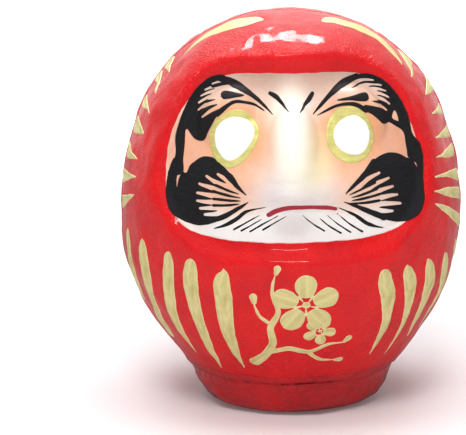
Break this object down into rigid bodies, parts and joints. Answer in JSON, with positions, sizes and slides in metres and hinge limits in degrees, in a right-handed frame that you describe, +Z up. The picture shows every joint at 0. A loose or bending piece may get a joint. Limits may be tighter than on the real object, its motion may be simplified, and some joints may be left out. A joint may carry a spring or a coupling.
{
  "type": "daruma doll",
  "caption": "Hollow papier-mache daruma doll with a face set back into a round hood, on a weighted base cup.",
  "frame": {"origin": "centre of the foot, on the surface the doll stands on", "axes": "+Z up through the crown, -Y out of the face, +X towards the doll's own left"},
  "size_m": [0.1568, 0.1554, 0.1804],
  "materials": {
    "red_lacquer": "gloss red lacquer over layered paper",
    "washi": "washi paper under gloss red lacquer",
    "clay": "dry unfired clay",
    "bare_paper": "uncoated paper"
  },
  "bodies": {
    "root": {"shell_front": "red_lacquer", "shell_back": "red_lacquer", "base_cup": "red_lacquer", "neck_strip": "washi", "seam_strip_1": "washi", "seam_strip_2": "washi", "seam_strip_3": "washi", "seam_strip_4": "washi", "seam_strip_5": "washi", "clay_weight": "clay", "foot_paper": "bare_paper"}
  },
  "joints": []
}
